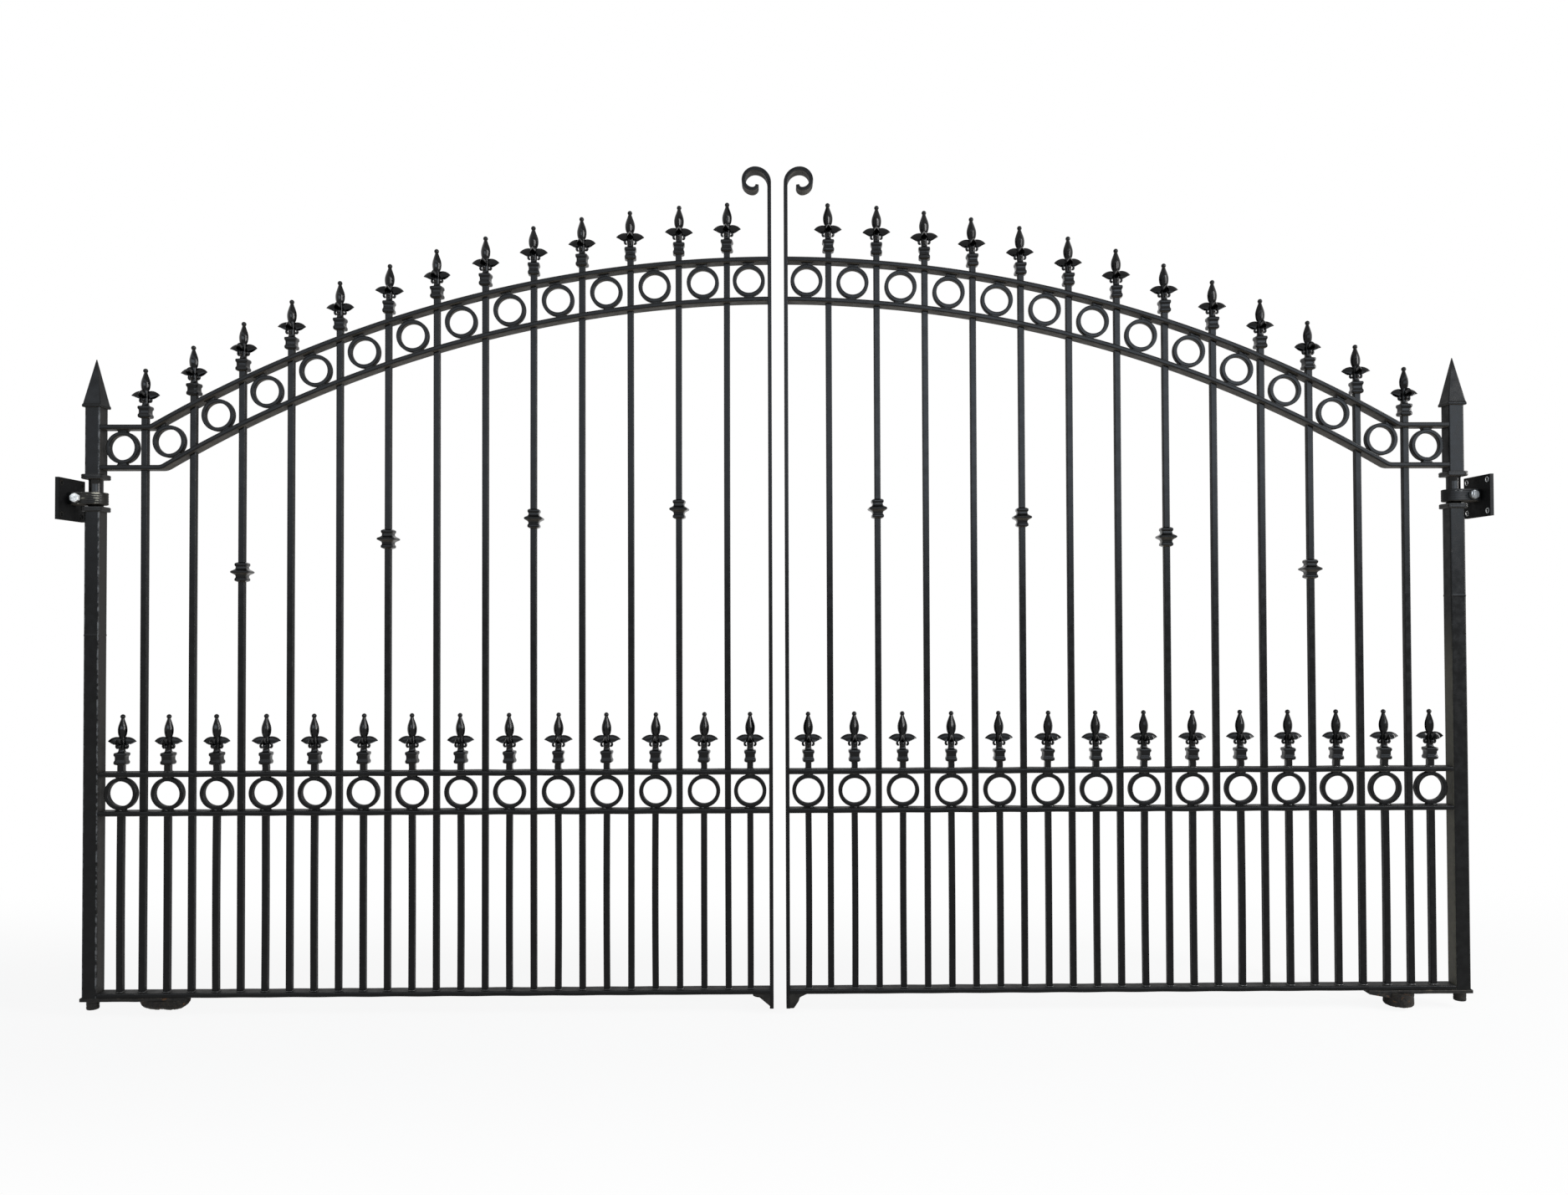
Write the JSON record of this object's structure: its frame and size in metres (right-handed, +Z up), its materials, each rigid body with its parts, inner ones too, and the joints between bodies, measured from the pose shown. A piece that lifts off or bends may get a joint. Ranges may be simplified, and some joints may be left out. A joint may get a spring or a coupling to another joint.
{
  "type": "wrought iron driveway gate pair",
  "caption": "Pair of arched wrought iron driveway gates with ring friezes, dog bars and cast railheads, on heel posts in strap hinges.",
  "frame": {"origin": "middle of the left wall plate's flat outer face, where it bears on the left pillar", "axes": "+X runs across the opening to the right pillar, +Y goes back through the gate, +Z is up; the front faces -Y"},
  "size_m": [4.096, 0.13, 2.433],
  "materials": {
    "black_paint": "satin black paint over iron",
    "cast_heads": "gloss black paint over castings",
    "turned_neck": "black paint, rubbed where it turns",
    "hinge_paint": "grey black paint, weathered",
    "worn_strap": "black paint worn to bare metal at the edges",
    "zinc_bolt": "zinc plated",
    "worn_iron": "scuffed black paint",
    "rusty_casting": "rust and dirt over old paint"
  },
  "bodies": {
    "wall_brackets": {"left_hinge_bracket": "hinge_paint", "left_hinge_strap": "worn_strap", "left_hinge_bolt": "zinc_bolt", "right_hinge_bracket": "hinge_paint", "right_hinge_strap": "worn_strap", "right_hinge_bolt": "hinge_paint"},
    "left_leaf": {"left_heel_post": "black_paint", "left_post_neck": "turned_neck", "left_upper_post": "black_paint", "left_post_cap": "cast_heads", "left_bottom_rail": "black_paint", "left_mid_rails": "black_paint", "left_upper_arch_rail": "black_paint", "left_lower_arch_rail": "black_paint", "left_meeting_stile": "black_paint", "left_tall_bars": "black_paint", "left_dog_bars": "black_paint", "left_arch_rings": "black_paint", "left_mid_rings": "black_paint", "left_tall_finials": "cast_heads", "left_dog_finials": "cast_heads", "left_bar_knops": "cast_heads", "left_stop_foot": "worn_iron", "left_heel_shoe": "worn_iron", "left_drive_boss": "rusty_casting"},
    "right_leaf": {"right_heel_post": "black_paint", "right_post_neck": "turned_neck", "right_upper_post": "black_paint", "right_post_cap": "cast_heads", "right_bottom_rail": "black_paint", "right_mid_rails": "black_paint", "right_upper_arch_rail": "black_paint", "right_lower_arch_rail": "black_paint", "right_meeting_stile": "black_paint", "right_tall_bars": "black_paint", "right_dog_bars": "black_paint", "right_arch_rings": "black_paint", "right_mid_rings": "black_paint", "right_tall_finials": "cast_heads", "right_dog_finials": "cast_heads", "right_bar_knops": "cast_heads", "right_stop_foot": "worn_iron", "right_heel_shoe": "worn_iron", "right_drive_boss": "rusty_casting"}
  },
  "joints": [
    {"name": "left_leaf_swing", "type": "hinge", "parent": "wall_brackets", "child": "left_leaf", "pos_m": [0.079, 0, 0.003], "axis": [0, 0, 1], "range_deg": [0, 90]},
    {"name": "right_leaf_swing", "type": "hinge", "parent": "wall_brackets", "child": "right_leaf", "pos_m": [4.017, 0, 0.003], "axis": [0, 0, -1], "range_deg": [0, 90]}
  ]
}
